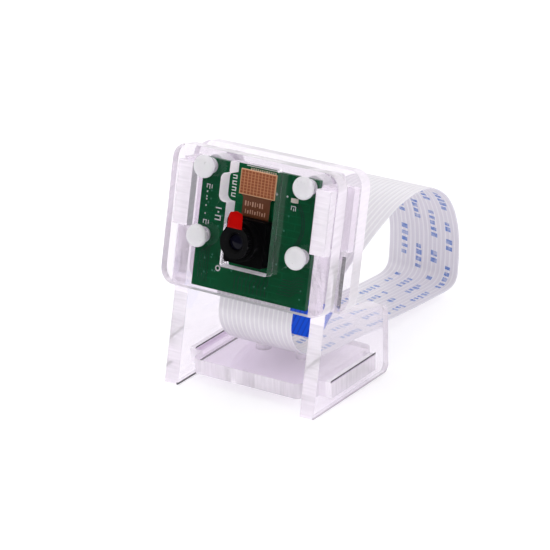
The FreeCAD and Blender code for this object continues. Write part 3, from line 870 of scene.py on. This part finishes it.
def film_tab():
    """Thin red pull tab: a rounded outline with a faint wave across it."""
    outline = [(-1.7, 2.6), (1.4, 2.6), (1.39, 3.8), (1.33, 4.9), (1.2, 5.4), (0.85, 5.72),
               (0.0, 5.8), (-1.05, 5.7), (-1.4, 5.35), (-1.63, 4.8), (-1.69, 3.8)]
    rows, cols = 9, 6
    verts = []
    for side in (0, 1):
        for i in range(rows + 1):
            up = 2.6 + 3.2 * i / rows
            xs = edge_at(outline, up)
            x0, x1 = min(xs), max(xs)
            for j in range(cols + 1):
                x = x0 + (x1 - x0) * j / cols
                lift = 0.02 * math.sin(up * 1.3 + x) + 0.05
                verts.append(spot(LENS_X + x, BARREL_TOP - 0.12 + side * 0.1 + lift * 0.3,
                                  LENS_V + up))
    return mesh_object("film_tab", verts, sheet_faces(rows, cols), M["red"])


def edge_at(outline, up):
    """The x of each place where a horizontal line meets an outline."""
    hits = []
    for (xa, ya), (xb, yb) in zip(outline, outline[1:] + outline[:1]):
        if min(ya, yb) - 1e-6 <= up <= max(ya, yb) + 1e-6:
            t = 0.0 if abs(yb - ya) < 1e-9 else (up - ya) / (yb - ya)
            hits.append(xa + (xb - xa) * min(max(t, 0), 1))
            if abs(yb - ya) < 1e-9:
                hits.append(xb)
    return hits


finish_piece(film_tab(), "film_red", "lens_film_tab")


TAIL_LOW = 14.65
TAIL_HIGH = 23.3


def tail_depth(v):
    """Depth of the tail's face: a shallow arch that flattens towards the connector."""
    f = (v - TAIL_LOW) / (TAIL_HIGH - TAIL_LOW)
    return -1.3 + 0.1 * math.sin(math.pi * min(1.0, f * 2.2))


def flex_tail():
    """Flat tail that leaves the holder and steps up to the connector's height."""
    verts, uvs = [], []
    x0, x1 = -3.2, 2.7
    rows, cols = 24, 12
    for side in (0, 1):
        for i in range(rows + 1):
            v = TAIL_LOW + (TAIL_HIGH - TAIL_LOW) * i / rows
            d = tail_depth(v) - 0.005
            grow = 0.7 * min(1.0, max(0.0, (v - 18.3) / 0.5))
            for j in range(cols + 1):
                x = (x0 - grow) + (x1 + grow * 0.9 - (x0 - grow)) * j / cols
                verts.append(spot(x, d - 0.11 + side * 0.1, v))
                uvs.append(((x + 4.0) / U_SPAN, v / U_SPAN))
    return mesh_object("flex_tail", verts, sheet_faces(rows, cols), M["flex"], True, uvs)


finish_piece(flex_tail(), "flex_brown", "sensor_flex")


def grid_plate():
    """Stiffener over the connector: pale rim, brown ground and small copper pads."""
    rim = Mesh()
    x0, x1, v0, v1 = -4.1, 3.7, 18.7, 23.4
    back, face = -1.42, -1.6
    rim.slab(x0, x1, face, back, v0, v1, 0.06)
    rim_obj = rim.object("grid_rim", M["grid_rim"], False)
    ground = Mesh()
    ground.slab(x0 + 0.14, x1 - 0.14, face - 0.03, face + 0.02, v0 + 0.14, v1 - 0.14)
    ground_obj = ground.object("grid_ground", M["grid_base"], False)
    pads = Mesh()
    cols, rows = 10, 8
    w = (x1 - x0 - 0.36) / cols
    h = (v1 - v0 - 0.36) / rows
    for i in range(cols):
        for j in range(rows):
            a = x0 + 0.18 + i * w
            b = v0 + 0.18 + j * h
            pads.slab(a + 0.11, a + w - 0.11, face - 0.07, face - 0.02, b + 0.06, b + h - 0.06,
                      0.02)
    pads_obj = pads.object("grid_pads", M["copper"], False)
    finish_piece(rim_obj, "copper_grid", "flex_stiffener")
    finish_piece(ground_obj, "copper_grid")
    finish_piece(pads_obj, "copper_grid")


grid_plate()


def flex_marks():
    """Two rows of plain upright dashes on the flex tail."""
    m = Mesh()
    for row, (v, x, count) in enumerate(((15.6, -2.5, 9), (17.2, -2.7, 8))):
        for k in range(count):
            w = (0.16, 0.3, 0.2)[(k + row) % 3]
            d = tail_depth(v) - 0.135
            tall = (0.5, 0.5, 0.3)[(k * 2 + row) % 3]
            m.slab(x, x + w, d, d + 0.03, v - tall, v + tall)
            x += w + 0.3
    return m.object("flex_marks", M["mark"], False)


finish_piece(flex_marks(), "copper_grid")


# ---------------------------------------------------------------- board print and tracks
def board_strokes():
    """Plain strokes and dashes where the board's print sits."""
    m = Mesh()
    t = 0.02

    def stroke(x, v, w, h):
        m.slab(x - w / 2, x + w / 2, -t, 0.0, v - h / 2, v + h / 2)

    for v in (11.95, 18.6):
        stroke(-11.35, v + 0.15, 0.16, 0.75)
        stroke(-10.95, v + 0.45, 0.65, 0.15)
        stroke(-10.75, v, 0.15, 0.75)
        stroke(-10.25, v + 0.15, 0.16, 0.75)
    for v in (13.6, 15.1, 16.3, 16.8, 17.7):
        stroke(-11.15, v, 0.24, 0.3)
    for k, (w, h) in enumerate([(1.3, 0.22), (0.3, 0.3), (1.3, 0.22), (1.3, 0.22)]):
        stroke(-8.3, 15.1 - 0.72 * k, w, h)
    stroke(-7.75, 13.3, 0.22, 0.85)
    for k in range(4):
        v = 17.6 + 1.12 * k
        stroke(-6.25, v, 0.95, 0.2)
        stroke(-6.25, v + 0.55, 0.95, 0.2)
        stroke((-6.62, -5.88)[k % 2], v + 0.28, 0.2, 0.7)
    for k in range(12):
        a = 2 * math.pi * k / 12
        stroke(-7.1 + 0.45 * math.cos(a), 4.05 + 0.45 * math.sin(a), 0.24, 0.24)
    stroke(7.2, 18.1, 0.15, 0.8)
    stroke(7.7, 18.4, 0.7, 0.15)
    stroke(8.1, 18.0, 0.15, 0.8)
    stroke(7.7, 17.8, 0.15, 0.5)
    stroke(6.1, 19.95, 0.5, 0.12)
    stroke(6.1, 19.95, 0.12, 0.5)
    stroke(-0.55, 23.8, 6.9, 0.14)
    return m.object("board_print", M["ink"], False)


finish_piece(board_strokes(), "print_white", "board_strokes")


def track(m, points, width):
    """Raised copper run under the mask, as short slabs joined at mitres."""
    t = 0.02
    left, right = [], []
    for k, (x, v) in enumerate(points):
        a = points[max(k - 1, 0)]
        b = points[min(k + 1, len(points) - 1)]
        dx, dv = b[0] - a[0], b[1] - a[1]
        n = math.hypot(dx, dv)
        ox, ov = -dv / n * width / 2, dx / n * width / 2
        left.append((x + ox, v + ov))
        right.append((x - ox, v - ov))
    verts = []
    for (lx, lv), (rx, rv) in zip(left, right):
        verts += [spot(lx, -t, lv), spot(rx, -t, rv), spot(lx, 0.0, lv), spot(rx, 0.0, rv)]
    faces = []
    for k in range(len(points) - 1):
        a, b = 4 * k, 4 * k + 4
        faces += [(a, a + 1, b + 1, b), (a, b, b + 2, a + 2), (a + 1, a + 3, b + 3, b + 1),
                  (a + 2, b + 2, b + 3, a + 3)]
    e = 4 * (len(points) - 1)
    faces += [(0, 2, 3, 1), (e, e + 1, e + 3, e + 2)]
    m.add(verts, faces)


def board_tracks():
    m = Mesh()
    for off in (0.0, 0.45):
        pts = []
        for k in range(15):
            a = math.radians(-62 + 124 * k / 14)
            pts.append((7.0 + (2.9 + off) * math.cos(a), 14.9 + (4.3 + off) * math.sin(a)))
        track(m, pts, 0.2)
    for k in range(5):
        x = -11.4 + 0.5 * k
        track(m, [(x, 1.0), (x, 6.2 + 0.3 * k), (x + 0.8, 7.2 + 0.3 * k)], 0.12)
    for k in range(9):
        x = -3.2 + 0.85 * k
        track(m, [(x, 0.8), (x, 3.2 - 0.1 * k), (x + 0.4, 3.8 - 0.1 * k), (x + 0.4, 5.2)], 0.12)
    for k in range(6):
        v = 2.0 + 0.55 * k
        track(m, [(6.0 + 0.2 * k, v), (9.0, v), (10.2, v + 1.0), (11.6, v + 1.0)], 0.12)
    return m.object("board_tracks", M["track"], False)


finish_piece(board_tracks(), "board_green")


def board_vias():
    m = Mesh()
    for k in range(46):
        x = random.uniform(-11.6, 11.6)
        v = random.uniform(0.8, 23.2)
        near_hole = any(math.hypot(abs(x) - HOLE_X, v - hv) < 2.6 for hv in HOLE_V)
        if near_hole or (-4.9 < x < 4.6 and v > 6.0):
            continue
        m.lathe(x, v, [(0.0, 0.0), (0.19, 0.0), (0.19, -0.018), (0.1, -0.022), (0.08, -0.012),
                       (0.0, -0.012)], 14)
    return m.object("board_vias", M["via"])


finish_piece(board_vias(), "board_green")


# ---------------------------------------------------------------- stage and light
def studio():
    floor_mat = Shader("floor", (0.8, 0.8, 0.8), 0.9, Emission_Strength=0.36)
    tone = floor_mat.noise(3.0)
    floor_mat.color(floor_mat.mix(tone, (0.79, 0.79, 0.8), (0.81, 0.81, 0.82)))
    floor_mat.feed(floor_mat.bsdf.inputs["Emission Color"],
                   floor_mat.mix(tone, (0.97, 0.96, 0.98), (1.0, 0.99, 1.0)))
    size = 1.2
    floor = mesh_object("floor", [(-size, -size, -0.00002), (size, -size, -0.00002),
                                  (size, size, -0.00002), (-size, size, -0.00002)],
                        [(0, 1, 2, 3)], floor_mat.mat)
    world = bpy.data.worlds.new("studio")
    bpy.context.scene.world = world
    world.use_nodes = True
    tree = world.node_tree
    back = tree.nodes["Background"]
    coords = tree.nodes.new("ShaderNodeTexCoord")
    toward = tree.nodes.new("ShaderNodeVectorMath")
    toward.operation = "DOT_PRODUCT"
    toward.inputs[1].default_value = (-0.521, -0.853, 0.022)
    tree.links.new(coords.outputs["Generated"], toward.inputs[0])
    ramp = tree.nodes.new("ShaderNodeValToRGB")
    ramp.color_ramp.elements[0].position = 0.78
    ramp.color_ramp.elements[0].color = (1.0, 1.0, 1.0, 1)
    ramp.color_ramp.elements[1].position = 0.9
    ramp.color_ramp.elements[1].color = (0.03, 0.03, 0.03, 1)
    tree.links.new(toward.outputs["Value"], ramp.inputs[0])
    tree.links.new(ramp.outputs[0], back.inputs["Color"])
    back.inputs["Strength"].default_value = 0.8
    plain = tree.nodes.new("ShaderNodeBackground")
    plain.inputs["Color"].default_value = (1.0, 1.0, 1.0, 1)
    ray = tree.nodes.new("ShaderNodeLightPath")
    pick = tree.nodes.new("ShaderNodeMixShader")
    tree.links.new(ray.outputs["Is Camera Ray"], pick.inputs[0])
    tree.links.new(back.outputs[0], pick.inputs[1])
    tree.links.new(plain.outputs[0], pick.inputs[2])
    tree.links.new(pick.outputs[0], tree.nodes["World Output"].inputs["Surface"])

    def area(name, at, toward, size_m, power):
        data = bpy.data.lights.new(name, "AREA")
        data.shape = "RECTANGLE"
        data.size, data.size_y = size_m
        data.energy = power
        obj = link(bpy.data.objects.new(name, data))
        obj.location = at
        obj.rotation_euler = (Vector(toward) - Vector(at)).to_track_quat("-Z", "Y").to_euler()

    target = (0, 0, 0.02)
    area("key", (-0.35, -0.35, 0.75), target, (0.6, 0.6), 1.2)
    area("rear", (0.0, 0.7, 0.5), target, (0.8, 0.4), 1.0)


studio()
bpy.context.scene.view_settings.view_transform = "Standard"
